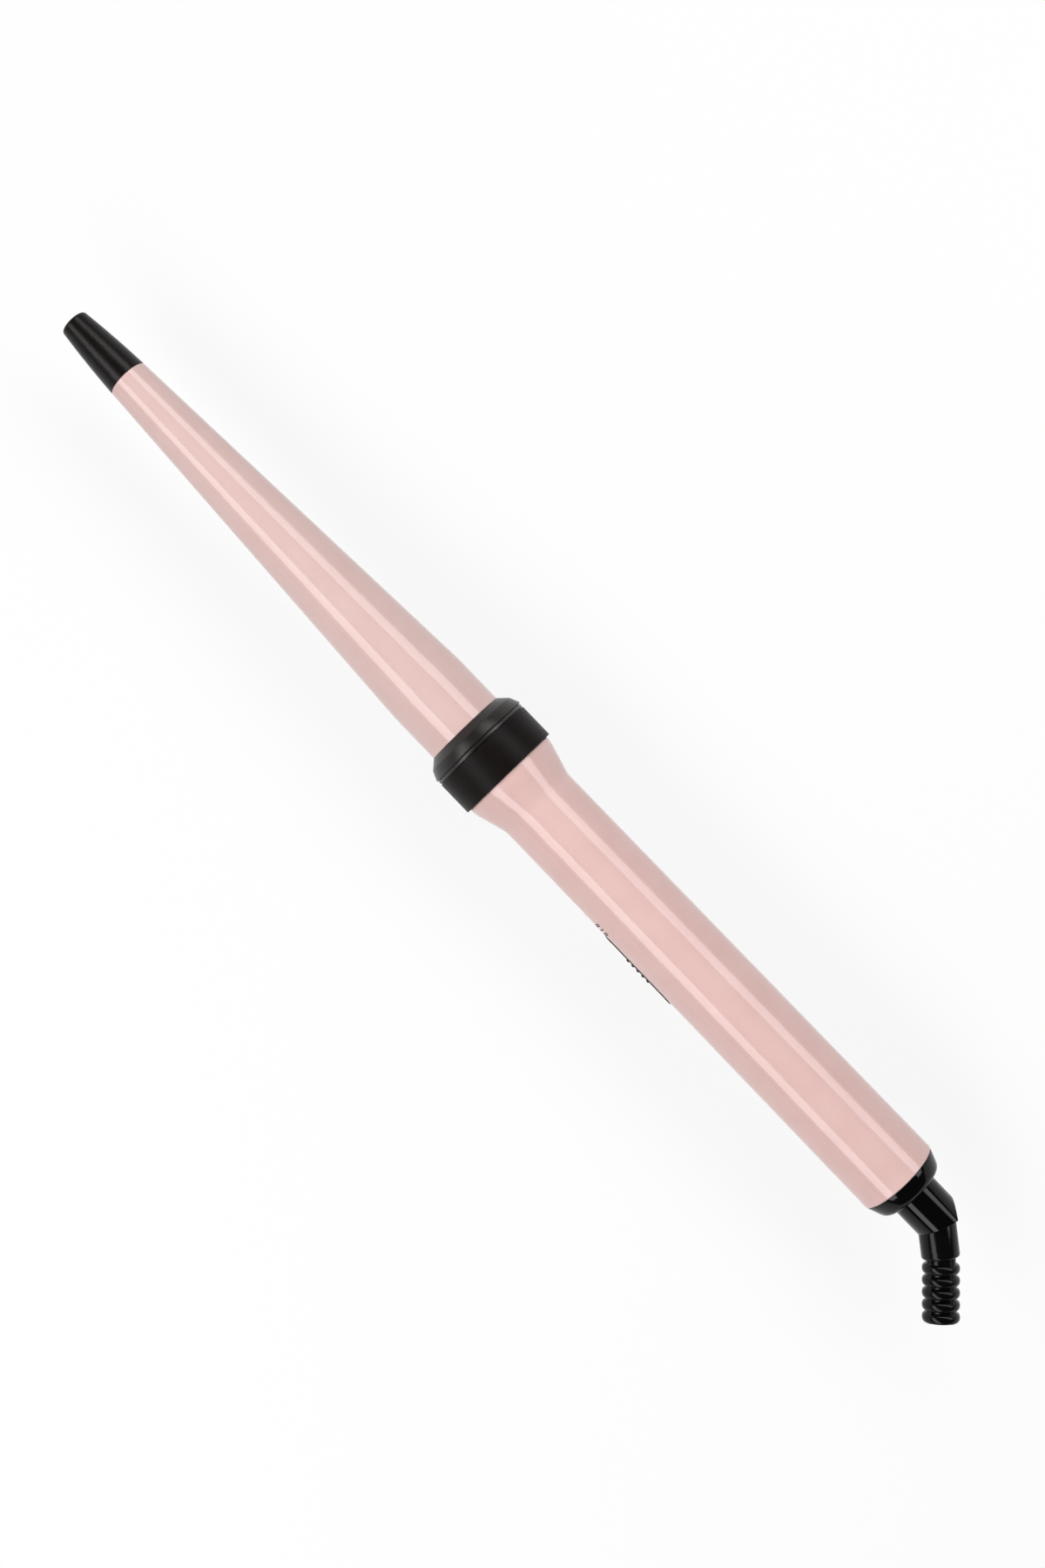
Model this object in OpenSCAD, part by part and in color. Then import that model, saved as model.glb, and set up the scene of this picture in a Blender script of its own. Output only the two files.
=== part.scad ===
// Conical curling wand with a slide switch and a swivelling cord outlet.
// The wand lies along X: the cool tip points to -X and the cord leaves at +X.
// The origin is on the axis, at the front face of the nose ring, where a holder's ring stops.

/* [Barrel] */
// Diameter of the barrel's straight root
barrel_root_d = 25; // [22:0.5:30]
// Diameter of the barrel where the cool tip starts
barrel_tip_d = 12.6; // [11:0.2:16]
// Length of the barrel between the cool tip and the nose ring
barrel_len = 139.6; // [120:0.2:170]
// Length of the straight root in front of the nose ring
barrel_root_len = 16; // [10:0.5:22]
// Thickness of the barrel's wall
barrel_wall = 1.2; // [1:0.1:1.6]
// Length of the barrel that is hidden in its socket
barrel_seat_len = 14.4; // [13:0.2:18]
// How far the barrel's seat in the socket is turned down
seat_step = 0.35; // [0.3:0.05:0.5]
// Bevel on the rims of the barrel and the handle
rim_edge = 0.25; // [0.1:0.05:0.4]

/* [Cool tip] */
// Length of the cool tip in front of the barrel
tip_len = 22.5; // [16:0.5:30]
// Diameter of the tip's rounded end
tip_end_d = 8.8; // [7:0.2:11]
// Radius of the tip's front edge
tip_edge_r = 1; // [0.5:0.1:1.5]
// Height of the tip's curve above a straight taper
tip_bulge = 0.2; // [0:0.05:0.4]
// Length of the spigot inside the barrel
tip_spigot_len = 9; // [7:0.5:12]
// Thickness of the tip's wall under the snap ring
tip_wall = 1.4; // [1:0.1:1.8]
// Thickness of the snap ring
clip_w = 1.1; // [0.8:0.1:1.5]
// Depth of the snap ring's groove in the spigot
clip_depth = 0.8; // [0.5:0.1:1]
// Depth of the snap ring's groove in the barrel
clip_bite = 0.35; // [0.2:0.05:0.5]
// Opening of the snap ring
clip_opening = 4; // [2:0.5:5]

/* [Heater] */
// Length of the heat spreaders
heater_len = 70; // [50:1:80]
// Distance from the nose ring's front to the back of the heat spreaders
heater_back = 25; // [20:1:35]
// Number of heating tablets
tablet_count = 3; // [2:1:4]
// Length of a heating tablet
tablet_len = 20; // [14:0.5:21]
// Width of a heating tablet
tablet_w = 8; // [6:0.5:9]
// Thickness of a heating tablet
tablet_t = 2; // [1.5:0.1:2.5]
// Space between two tablets
tablet_space = 1.5; // [1:0.1:2]
// Thickness of an electrode strip
electrode_t = 0.4; // [0.3:0.05:0.6]
// Width of an electrode's tail
tail_w = 4; // [3:0.5:5]
// Length of an electrode's tail behind the heat spreaders
tail_len = 4; // [3:0.5:6]
// Thickness of the insulating film
film_t = 0.15; // [0.1:0.05:0.3]
// Gap between the two heat spreaders
shoe_split = 1; // [0.6:0.1:1.6]
// Diameter of the heater spring's wire
spring_wire_d = 1.2; // [0.8:0.1:1.5]
// Number of the spring's turns
spring_turns = 5; // [4:1:7]
// Length of the ceramic spacer in front of the nose ring's face
spacer_reach = 6; // [4:0.5:10]
// Radius of the lead passage through spacer, socket and chassis
passage_r = 5; // [4.5:0.1:5.5]
// Diameter of the temperature sensor
sensor_d = 2; // [1.5:0.1:2.5]
// Length of the temperature sensor
sensor_len = 5; // [4:0.5:8]
// Depth of the sensor in the lower heat spreader
sensor_depth = 12; // [8:0.5:20]
// Distance of the sensor from the axis
sensor_offset = 5.6; // [5:0.1:6.5]
// Diameter of the thermal fuse
fuse_d = 3.2; // [3:0.1:4]
// Length of the thermal fuse
fuse_len = 9; // [8:0.5:11]
// Length of the thermal fuse's bare wire between tail and fuse
fuse_wire_len = 2; // [1:0.5:3]
// Diameter of the thermal fuse's wire
fuse_wire_d = 0.8; // [0.6:0.1:1]

/* [Collar] */
// Wall of the socket round the barrel
socket_wall = 1.8; // [1.3:0.05:2]
// Wall of the nose ring's skirt on the socket
skirt_wall = 0.85; // [0.6:0.05:1.2]
// Length of the nose ring's skirt
skirt_len = 3.9; // [3:0.1:5]
// Wall of the collar band over the skirt
band_wall = 1.3; // [1:0.05:2]
// Length of the collar band
band_len = 11; // [9:0.5:16]
// Rounding of the collar band's rear edge
band_edge = 0.35; // [0.2:0.05:0.6]
// Length of the nose ring
nose_len = 5.6; // [4.5:0.1:8]
// Length of the nose ring's steep front bevel
nose_bevel_len = 2.5; // [1.5:0.1:3.5]
// Rise of the nose ring's second bevel
nose_rise = 1.2; // [0.8:0.1:1.6]
// Height of the nose ring above the collar band
nose_lip = 0.2; // [0:0.05:0.5]
// Width of the groove between nose ring and band
groove_w = 1.4; // [1:0.1:2]
// Width of the trim ring in the groove
trim_w = 1; // [0.4:0.05:1.2]
// Depth of the trim ring below the band
trim_depth = 0.15; // [0.1:0.05:0.6]
// Thickness of the socket's web behind the barrel
web_t = 3.5; // [3:0.1:5]
// Length of the socket's plug inside the handle
socket_plug_len = 5; // [4:0.5:6]

/* [Handle] */
// Length of the handle
handle_len = 160.9; // [145:0.1:190]
// Step down from the collar band to the handle
handle_step = 1.1; // [0.6:0.1:1.6]
// Diameter of the handle behind its shoulder
handle_neck_d = 24.4; // [23:0.1:28]
// Diameter of the handle at the end cap
handle_end_d = 25.4; // [24:0.1:30]
// Wall of the handle at its neck
handle_wall = 2; // [1.8:0.1:2.4]
// Length of the level rim in front of the shoulder
shoulder_land = 1.6; // [1.5:0.1:3]
// Distance from the handle's front to the foot of the shoulder
shoulder_len = 11.7; // [10:0.1:16]
// Length of the rounding at both ends of the shoulder
shoulder_blend = 1.5; // [0.5:0.1:1.5]

/* [Chassis and board] */
// Wall of the chassis tray
chassis_wall = 1.5; // [1.2:0.1:2]
// Thickness of the chassis's end walls
chassis_end_t = 3; // [2.5:0.1:4]
// Length of the chassis's screw posts
post_len = 7; // [5:0.5:9]
// Radius of the chassis's screw posts
post_r = 2.2; // [2:0.1:2.5]
// Height of the board's underside above the axis
board_h = 1.4; // [1:0.1:1.8]
// Thickness of the board
board_t = 1.6; // [1.2:0.1:2]
// Length of the board in front of the switch
board_front = 30; // [26:1:34]
// Length of the board behind the switch
board_back = 36; // [34:1:40]
// Distance of the board's screws from its ends
board_screw_inset = 4; // [3.5:0.5:5]
// Length of the film capacitor
capacitor_len = 10; // [8:0.5:12]
// Width of the film capacitor
capacitor_w = 5; // [4:0.5:6]
// Height of the film capacitor
capacitor_h = 4.5; // [3.5:0.5:5]
// Length of the triac
triac_len = 8; // [7:0.5:10]
// Width of the triac
triac_w = 6.5; // [5:0.5:8]
// Thickness of the triac
triac_t = 2.5; // [2:0.1:3]
// Length of the control chip
chip_len = 5; // [4:0.5:7]
// Width of the control chip
chip_w = 4; // [3:0.5:6]
// Thickness of the control chip
chip_t = 1.5; // [1:0.1:2]

/* [Switch] */
// Distance from the handle's front to the middle of the switch
switch_pos = 66.6; // [60:0.1:75]
// Turn of the switch's face from the wand's side towards its back
switch_turn = 16; // [0:1:30]
// Length of the switch plate
plate_len = 28; // [27.5:0.1:34]
// Width of the switch plate
plate_w = 9.4; // [9.2:0.1:12]
// Depth of the plate's seat in the handle
plate_seat = 0.9; // [0.7:0.05:1.1]
// Height of the plate above the handle
plate_proud = 0.3; // [0.1:0.05:0.6]
// Length of the thumb slider
slider_len = 10; // [9:0.1:11]
// Width of the thumb slider
slider_w = 5.8; // [4:0.1:6]
// Travel of the slider from its middle position to each end
slider_travel = 2.2; // [1.6:0.1:2.3]
// Number of grip ridges on the slider
ridge_count = 5; // [3:1:6]
// Spacing of the grip ridges
ridge_pitch = 2.05; // [1.5:0.05:2.2]
// Width of a grip ridge
ridge_w = 0.9; // [0.6:0.1:1.2]
// Height of the grip ridges above the plate
ridge_h = 0.35; // [0.2:0.05:0.6]
// Thickness of the slider's shutter under the plate
shutter_t = 0.7; // [0.5:0.05:0.9]
// Length of the slide switch's case
case_len = 14; // [13:0.5:16]
// Width of the slide switch's case
case_w = 6.4; // [6:0.1:7]
// Height of the slide switch's case
case_h = 4.6; // [4:0.1:4.8]
// Length of the slide switch's lever
lever_len = 3; // [2.5:0.1:3.5]
// Width of the slide switch's lever
lever_w = 2.4; // [2:0.1:2.8]
// Depth of the lever inside the case
lever_depth = 2; // [1.5:0.1:2.5]
// Depth of the lever inside the slider's fork
fork_depth = 1.6; // [1.2:0.1:1.8]
// Length of the slider's fork over the lever
fork_len = 6; // [5:0.1:7]
// Width of the slider's fork
fork_w = 4; // [3.6:0.1:4.4]
// Distance from the switch's middle to the pilot light, towards the tip
lens_offset = 22; // [20:0.5:24]
// Diameter of the pilot light's lens
lens_d = 2.4; // [2:0.1:3]
// Height of the pilot light on the board
led_h = 3.5; // [3:0.1:4]

/* [Swivel and cord boot] */
// Length of the end cap
cap_len = 5.6; // [5.3:0.1:10]
// Step down from the handle to the end cap
cap_step = 0.25; // [0.1:0.05:0.5]
// Length of the end cap's bevel
cap_bevel_len = 3.4; // [3:0.1:4.5]
// Drop of the end cap's bevel
cap_bevel_drop = 1.1; // [0.8:0.1:1.8]
// Drop of the round edge behind the end cap's bevel
cap_round = 2.2; // [1.5:0.1:3]
// Length of the rear plug inside the handle
plug_len = 20.8; // [20:0.1:24]
// Length of the rear plug inside the end cap
plug_reach = 1.6; // [1.2:0.1:2]
// Thickness of the rear plug's front wall
plug_wall = 4.5; // [4:0.1:5]
// Diameter of the stem outside the end cap
stem_d = 14.6; // [13:0.1:16]
// Length of the stem outside the end cap
stem_len = 10.5; // [6:0.5:14]
// Rounding of the stem's end
stem_edge = 0.6; // [0.3:0.1:1]
// Length of the elbow past the start of the boot's axis, on the stem's axis
elbow_len = 2; // [1:0.1:3]
// Distance of the elbow's outer flat from the boot's axis
elbow_side = 5.2; // [4.5:0.1:5.5]
// Width of the stem's collar inside the end cap
stem_collar = 1.5; // [1.2:0.1:1.8]
// Thickness of the stem's collar
stem_collar_t = 2.2; // [1.8:0.1:2.4]
// Diameter of the stem's nose, which carries the slip rings
nose_d = 8; // [7:0.1:8.4]
// Length of the stem's nose
nose_reach = 15; // [14.5:0.1:15.5]
// Diameter of the conductors' passage in the stem
stem_bore_d = 4.4; // [4:0.1:5]
// Thickness of the slip rings
slip_ring_t = 1; // [0.8:0.1:1.2]
// Width of the slip rings
slip_ring_w = 2.2; // [1.8:0.1:2.6]
// Distance from the nose's end to the first slip ring
slip_inset = 2; // [1.5:0.1:2.5]
// Space between the slip rings
slip_space = 3; // [2.5:0.1:3.5]
// Thickness of the sprung contacts
contact_t = 0.3; // [0.2:0.05:0.4]
// Space behind the sprung contacts
contact_space = 0.7; // [0.5:0.1:0.9]
// Distance of the contacts' slots from the middle
contact_side = 2.4; // [2.2:0.1:2.6]
// Width of the contacts' slots
slot_w = 2; // [1.8:0.1:2.2]
// Height of the contacts' tabs
tab_h = 2.4; // [2:0.1:2.8]
// Turn of the plug's screws below its middle
plug_screw_turn = 35; // [20:1:45]
// Bend of the boot away from the wand's axis
boot_bend = 37; // [0:1:45]
// Further bend where the ribs begin
rib_bend = 7; // [0:1:15]
// Diameter of the boot's smooth root
boot_d = 11.1; // [10:0.1:11.4]
// Length of the boot's smooth root along its axis
boot_root_len = 11.4; // [10:0.1:16]
// Shift of the boot's root from the wand's axis, at the stem's end
boot_shift = -0.3; // [-0.5:0.05:0.5]
// Number of ribs
rib_count = 5; // [3:1:12]
// Spacing of the ribs
rib_pitch = 3.5; // [3:0.1:4.5]
// Distance from the root's end to the first rib
rib_start = 2.95; // [2.5:0.05:5]
// Diameter of the ribs
rib_d = 10.9; // [10:0.1:12]
// Width of a rib at its foot
rib_w = 2.9; // [1.8:0.1:3]
// Diameter of the sleeve between the ribs
sleeve_d = 8.4; // [8:0.1:9]
// Number of spines that join the ribs
spine_count = 4; // [2:1:6]
// Turn of the first spine from the top
spine_turn = 35; // [0:1:90]
// Diameter over the spines
spine_d = 9.9; // [9:0.1:10.5]
// Width of a spine
spine_w = 1.7; // [1.2:0.1:2.2]
// Diameter of the cord's bore
cord_bore_d = 6.2; // [5.5:0.1:7]
// Length of the stem's spigot inside the boot
spigot_len = 8; // [6:0.5:9]
// Wall of the stem's spigot
spigot_wall = 1.4; // [1.1:0.1:1.6]

/* [Screws and leads] */
// Diameter of the small screws
screw_d = 2; // [1.8:0.1:2.2]
// Diameter of the small screws' heads
screw_head_d = 3.2; // [3:0.1:3.6]
// Height of the small screws' heads
screw_head_h = 0.8; // [0.7:0.1:1]
// Diameter of the heater and mains leads
lead_d = 1.6; // [1.2:0.1:1.8]
// Diameter of the sensor's lead
sensor_lead_d = 1; // [0.8:0.1:1.2]

/* [Clearances] */
// Gap between pieces that are fixed to each other
seat_gap = 0.05; // [0.02:0.01:0.08]
// Radial gap of the stem in the end cap
run_gap = 0.06; // [0.03:0.01:0.09]
// Gap round the sliding pieces
slide_gap = 0.2; // [0.1:0.05:0.3]
// Gap between the end of the barrel's coat and the nose ring
ring_gap = 0.1; // [0.08:0.01:0.2]
// Gap round pieces that turn or lie free
free_gap = 0.3; // [0.2:0.05:0.4]

/* [Hidden] */
$fn = 96;

// Cut-through allowance, only used on the open side of a cut
cut = 1;
// Sides of the swept leads and spring
tube_sides = 8;
// How far the film reaches past the tablets
film_over = 1;
// Space between the pieces on the board
part_space = 1;
// Thickness of the lens's flange
flange_t = 1;
// Lap of the boot's root and ribs, which closes the root's pocket
root_lap = 1;

// Places along the axis
tip_joint_x = -barrel_len;
tip_end_x = tip_joint_x - tip_len;
band_x = nose_len + groove_w;
handle_x = band_x + band_len;
cap_x = handle_x + handle_len;
stem_x = cap_x + cap_len;
mitre_x = stem_x + stem_len;
shoe_back_x = -heater_back;
shoe_front_x = shoe_back_x - heater_len;
web_x = barrel_seat_len + seat_gap;
spacer_x = -spacer_reach;

// Radii of the collar, built outwards from the barrel
root_r = barrel_root_d / 2;
seat_r = root_r - seat_step;
socket_r = seat_r + seat_gap + socket_wall;
skirt_r = socket_r + seat_gap + skirt_wall;
band_r = skirt_r + seat_gap + band_wall;
ring_r = band_r + nose_lip;
bevel_r = ring_r - nose_rise;

// Radii of the handle
handle_front_r = band_r - handle_step;
neck_r = handle_neck_d / 2;
end_r = handle_end_d / 2;
handle_bore_r = neck_r - handle_wall;
handle_mouth_r = handle_front_r - handle_wall;
shoulder_foot_x = handle_x + shoulder_len;
chassis_r = handle_bore_r - slide_gap;

// Barrel outside and bore at a place along the axis
function barrel_r(x) = x > -barrel_root_len ? root_r
    : root_r - (root_r - barrel_tip_d / 2) * (-barrel_root_len - x) / (barrel_len - barrel_root_len);
function bore_r(x) = barrel_r(x) - barrel_wall;

// Handle outside behind the shoulder, and its bore in the shoulder
function handle_r(x) = neck_r + (end_r - neck_r) * (x - shoulder_foot_x) / (cap_x - shoulder_foot_x);
function mouth_r(x) = handle_mouth_r - (handle_mouth_r - handle_bore_r)
    * min(1, (x - handle_x) / (shoulder_len + shoulder_blend));

// Snap ring of the cool tip
spigot_r = barrel_tip_d / 2 - barrel_wall - seat_gap;
clip_floor_r = spigot_r - clip_depth;
clip_x = tip_joint_x + tip_spigot_len * 2 / 3;
clip_groove_r = bore_r(clip_x) + clip_bite;

// Heater stack, from the middle outwards
electrode_z = tablet_t / 2 + seat_gap;
film_z = electrode_z + electrode_t + seat_gap;
film_y = tablet_w / 2 + seat_gap;
stack_len = tablet_count * tablet_len + (tablet_count - 1) * tablet_space;
stack_x = shoe_back_x - heater_len / 2 - stack_len / 2;
tail_x = shoe_back_x + tail_len;
spring_r = bore_r(shoe_back_x) - free_gap * 2 - spring_wire_d;
spring_front_x = shoe_back_x + spring_wire_d / 2 + seat_gap;
spring_back_x = spacer_x - spring_wire_d / 2 - seat_gap;
fuse_wire_r = fuse_wire_d / 2;
fuse_x = tail_x + fuse_wire_len;
fuse_z = electrode_z + electrode_t + seat_gap + fuse_wire_r;

// Screws of the collar
screw_r = screw_d / 2;
screw_head_r = screw_head_d / 2;
barrel_screw_x = web_x - socket_wall - screw_head_r;
post_ring_r = chassis_r - post_r - seat_gap;
socket_screw_y = post_ring_r * cos(45);

// Board and switch, with the switch's face along +Z before it is turned
switch_x = handle_x + switch_pos;
board_front_x = switch_x - board_front;
board_back_x = switch_x + board_back;
board_top = board_h + board_t;
board_w = 2 * sqrt(pow(handle_bore_r - 2 * free_gap, 2) - pow(board_top, 2));
case_top = board_top + seat_gap + case_h;
lever_foot_z = case_top - lever_depth;
fork_foot_z = case_top + free_gap;
fork_roof_z = fork_foot_z + fork_depth;
seat_drop = plate_seat - seat_gap;
window_len = slider_len + 2 * slider_travel + 2 * slide_gap;
window_w = slider_w + 2 * slide_gap;
shutter_len = window_len + 2 * slider_travel + 2 * slide_gap;
shutter_w = slider_w;
opening_len = shutter_len + 2 * slider_travel + 2 * free_gap;
opening_w = shutter_w + 2 * free_gap;
lens_x = switch_x - lens_offset;

// Rear plug, stem and slip rings
stem_r = stem_d / 2;
plug_r = handle_bore_r - seat_gap;
plug_front_x = cap_x - plug_len;
plug_back_x = cap_x + plug_reach;
collar_x = plug_back_x + free_gap;
collar_r = stem_r + stem_collar;
nose_r = nose_d / 2;
nose_x = collar_x - nose_reach;
slip_ring_r = nose_r + seat_gap + slip_ring_t;
slip_front_x = nose_x + slip_inset;
slip_rear_x = slip_front_x + slip_ring_w + slip_space;
plug_bore_r = slip_ring_r + slide_gap + contact_t + contact_space;
plug_screw_r = plug_bore_r - screw_head_r - free_gap;
plug_screw_y = plug_screw_r * cos(plug_screw_turn);
plug_screw_z = -plug_screw_r * sin(plug_screw_turn);
chassis_x = web_x + web_t + seat_gap;
chassis_back_x = plug_front_x - seat_gap;
contact_z = slip_ring_r + slide_gap / 2;

// Boot
boot_r = boot_d / 2;
rib_len = rib_start + (rib_count - 1) * rib_pitch + rib_w / 2;
nipple_r = stem_bore_d / 2 + spigot_wall;

// Routes of the leads: their easing and turns, and where they run in the passage and under the board
lead_ease = 8;
lead_turn = 5;
lead_pass = [2.6, -2];
lead_under = [4, -2];
sensor_pass = [0, -3.9];
sensor_under = [6.3, -3.9];
lead_end_inset = 9;
sensor_end_inset = 12;
mains_side = 5;
mains_end_inset = 2;

// Points on a cubic curve between the first and last of four points
function curve(p, n) = [for (i = [0:n]) let (t = i / n, s = 1 - t)
    s * s * s * p[0] + 3 * s * s * t * p[1] + 3 * s * t * t * p[2] + t * t * t * p[3]];

// Points of a rounded corner between two straight runs
function corner(a, b, c, n) = [for (i = [0:n]) let (t = i / n, s = 1 - t)
    s * s * a + 2 * s * t * b + t * t * c];

function unit(v) = v / norm(v);
function heading(path, i) = unit(path[min(i + 1, len(path) - 1)] - path[max(i - 1, 0)]);

// Round tube along a path, with its sides set off from a reference direction
module swept(path, r, reference) {
    sides = tube_sides;
    last = len(path) - 1;
    points = [for (i = [0:last]) let (
        u = unit(cross(heading(path, i), reference)),
        v = cross(u, heading(path, i)))
        for (k = [0:sides - 1]) path[i] + r * (cos(360 * k / sides) * u + sin(360 * k / sides) * v)];
    walls = [for (i = [0:last - 1], k = [0:sides - 1]) let (
        a = i * sides + k,
        b = i * sides + (k + 1) % sides)
        each [[a, b, b + sides], [a, b + sides, a + sides]]];
    front = [for (k = [1:sides - 2]) [0, k + 1, k]];
    back = [for (k = [1:sides - 2]) [last * sides, last * sides + k, last * sides + k + 1]];
    polyhedron(points, concat(walls, front, back));
}

// Solid of revolution round the wand's axis, from points of place and radius
module turned(profile) {
    rotate([0, 90, 0]) rotate_extrude() polygon([for (p = profile) [p[1], p[0]]]);
}

module sleeve(x0, x1, inner, outer) {
    turned([[x0, inner], [x1, inner], [x1, outer], [x0, outer]]);
}

module rod(x0, x1, r, y = 0, z = 0) {
    translate([x0, y, z]) rotate([0, 90, 0]) cylinder(h = x1 - x0, r = r);
}

module block(x0, x1, w, z0, z1) {
    translate([x0, -w / 2, z0]) cube([x1 - x0, w, z1 - z0]);
}

// Prism with round ends, standing on the axis at the switch
module stadium(length, w, height) {
    translate([switch_x, 0, 0]) linear_extrude(height) {
        square([length - w, w], center = true);
        for (side = [-1, 1]) translate([side * (length - w) / 2, 0]) circle(d = w);
    }
}

// Shell that follows the handle's outside round the switch
module handle_layer(below, above) {
    x0 = switch_x - plate_len;
    x1 = switch_x + plate_len;
    turned([
        [x0, handle_r(x0) + below], [x1, handle_r(x1) + below],
        [x1, handle_r(x1) + above], [x0, handle_r(x0) + above]
    ]);
}

// Turns a group from facing up to facing the switch's side
module facing_switch() {
    rotate([90 + switch_turn, 0, 0]) children();
}

// Pan-head screw along +X, with its head's underside at the start
module screw(length) {
    drive_len = screw_head_r * 1.2;
    drive_w = screw_head_r * 0.3;
    difference() {
        union() {
            rod(-screw_head_h, 0, screw_head_r);
            rod(-screw_head_h / 8, length, screw_r);
        }
        for (turn = [0, 90]) rotate([turn, 0, 0])
            translate([-screw_head_h - cut, -drive_len / 2, -drive_w / 2])
                cube([cut + screw_head_h / 2, drive_len, drive_w]);
    }
}

// Frame of the boot's smooth root, with X along the root
module along_root() {
    translate([mitre_x, boot_shift, 0]) rotate([0, 0, -boot_bend]) children();
}

// Room in front of the elbow's mitre, which halves the bend, and inside its outer flat
module elbow_room() {
    far = 2 * mitre_x;
    intersection() {
        translate([mitre_x + elbow_len, 0, 0]) rotate([0, 0, -boot_bend / 2])
            translate([-far, -far / 2, -far / 2]) cube(far);
        along_root() translate([-far, elbow_side - far, -far / 2]) cube([2 * far, far, far]);
    }
}

// Frame of the boot's ribs, with X along the ribs
module along_ribs() {
    along_root() translate([boot_root_len, 0, 0]) rotate([0, 0, -rib_bend]) children();
}

module cool_tip() {
    end_r_tip = tip_end_d / 2;
    joint_r = barrel_tip_d / 2;
    face_x = tip_joint_x - seat_gap;
    taper_x = tip_end_x + tip_edge_r;
    spigot_x = tip_joint_x + tip_spigot_len;
    bore = clip_floor_r - tip_wall;
    edge = [for (a = [0:15:90])
        [taper_x - tip_edge_r * cos(a), end_r_tip - tip_edge_r + tip_edge_r * sin(a)]];
    side = [for (i = [1:12]) let (u = i / 12) [
        taper_x + (face_x - taper_x) * u,
        end_r_tip + (joint_r - end_r_tip) * u + 4 * tip_bulge * u * (1 - u)
    ]];
    color("#1c1b1b") turned(concat(
        [[tip_end_x, 0]], edge, side,
        [
            [face_x, spigot_r],
            [clip_x - clip_w / 2 - seat_gap, spigot_r], [clip_x - clip_w / 2 - seat_gap, clip_floor_r],
            [clip_x + clip_w / 2 + seat_gap, clip_floor_r], [clip_x + clip_w / 2 + seat_gap, spigot_r],
            [spigot_x, spigot_r], [spigot_x, bore],
            [tip_end_x + tip_wall * 2, bore], [tip_end_x + tip_wall * 2, 0]
        ]));
}

module tip_clip() {
    color("#8f9296") difference() {
        sleeve(clip_x - clip_w / 2, clip_x + clip_w / 2, clip_floor_r + seat_gap, clip_groove_r - seat_gap);
        translate([clip_x - clip_w, -clip_opening / 2, 0]) cube([clip_w * 2, clip_opening, clip_groove_r]);
    }
}

module barrel() {
    groove = clip_w / 2 + seat_gap;
    color("#e9c5c0") difference() {
        turned([
            [tip_joint_x, barrel_tip_d / 2 - rim_edge],
            [tip_joint_x + rim_edge, barrel_r(tip_joint_x + rim_edge)],
            [-barrel_root_len, root_r], [0, root_r], [0, seat_r], [barrel_seat_len, seat_r],
            [barrel_seat_len, root_r - barrel_wall], [-barrel_root_len, root_r - barrel_wall],
            [clip_x + groove, bore_r(clip_x + groove)], [clip_x + groove, clip_groove_r],
            [clip_x - groove, clip_groove_r], [clip_x - groove, bore_r(clip_x - groove)],
            [tip_joint_x, barrel_tip_d / 2 - barrel_wall]
        ]);
        for (side = [0, 180]) rotate([side, 0, 0]) translate([barrel_screw_x, 0, 0])
            cylinder(h = root_r + cut, r = screw_r + seat_gap);
    }
}

// One half-round heat spreader with its channel for the stack
module heater_shoe() {
    front_r = bore_r(shoe_front_x) - seat_gap;
    back_r = bore_r(shoe_back_x) - seat_gap;
    difference() {
        turned([[shoe_front_x, 0], [shoe_back_x, 0], [shoe_back_x, back_r], [shoe_front_x, front_r]]);
        block(shoe_front_x - cut, shoe_back_x + cut, 4 * back_r, -2 * back_r, shoe_split / 2);
        block(shoe_front_x - cut, shoe_back_x + cut, 2 * (film_y + film_t + seat_gap), 0,
            film_z + film_t + seat_gap);
    }
}

module heater_shoe_upper() {
    color("#b9bcc0") facing_switch() heater_shoe();
}

module heater_shoe_lower() {
    color("#b9bcc0") facing_switch() difference() {
        rotate([180, 0, 0]) heater_shoe();
        rod(shoe_back_x - sensor_depth - seat_gap, shoe_back_x + cut, sensor_d / 2 + seat_gap,
            0, -sensor_offset);
    }
}

module ptc_tablets() {
    color("#5a5550") facing_switch() for (i = [0:tablet_count - 1])
        translate([stack_x + i * (tablet_len + tablet_space), -tablet_w / 2, -tablet_t / 2])
            cube([tablet_len, tablet_w, tablet_t]);
}

// Contact strip on one face of the tablets, with a tail for its lead
module electrode() {
    end_x = shoe_back_x - film_over;
    block(stack_x, end_x, tablet_w, electrode_z, electrode_z + electrode_t);
    block(end_x - film_over, tail_x, tail_w, electrode_z, electrode_z + electrode_t);
}

module electrode_upper() {
    color("#c9a45a") facing_switch() electrode();
}

module electrode_lower() {
    color("#c9a45a") facing_switch() rotate([180, 0, 0]) electrode();
}

module heater_film() {
    color("#b5792c") facing_switch() difference() {
        block(stack_x - film_over, shoe_back_x - film_over, 2 * (film_y + film_t),
            -film_z - film_t, film_z + film_t);
        block(stack_x - film_over - cut, shoe_back_x + cut, 2 * film_y, -film_z, film_z);
    }
}

module heater_spring() {
    steps = 16;
    total = spring_turns * steps;
    path = [for (i = [0:total]) let (a = 360 * i / steps) [
        spring_front_x + (spring_back_x - spring_front_x) * i / total,
        spring_r * cos(a),
        spring_r * sin(a)
    ]];
    color("#9a9da1") facing_switch() swept(path, spring_wire_d / 2, [1, 0, 0]);
}

module heater_spacer() {
    color("#e8e4d8") sleeve(spacer_x, web_x - seat_gap, passage_r, root_r - barrel_wall - free_gap);
}

module thermistor() {
    back = shoe_back_x - sensor_depth + sensor_len;
    color("#a04a2a") facing_switch()
        rod(shoe_back_x - sensor_depth, back, sensor_d / 2, 0, -sensor_offset);
}

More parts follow.
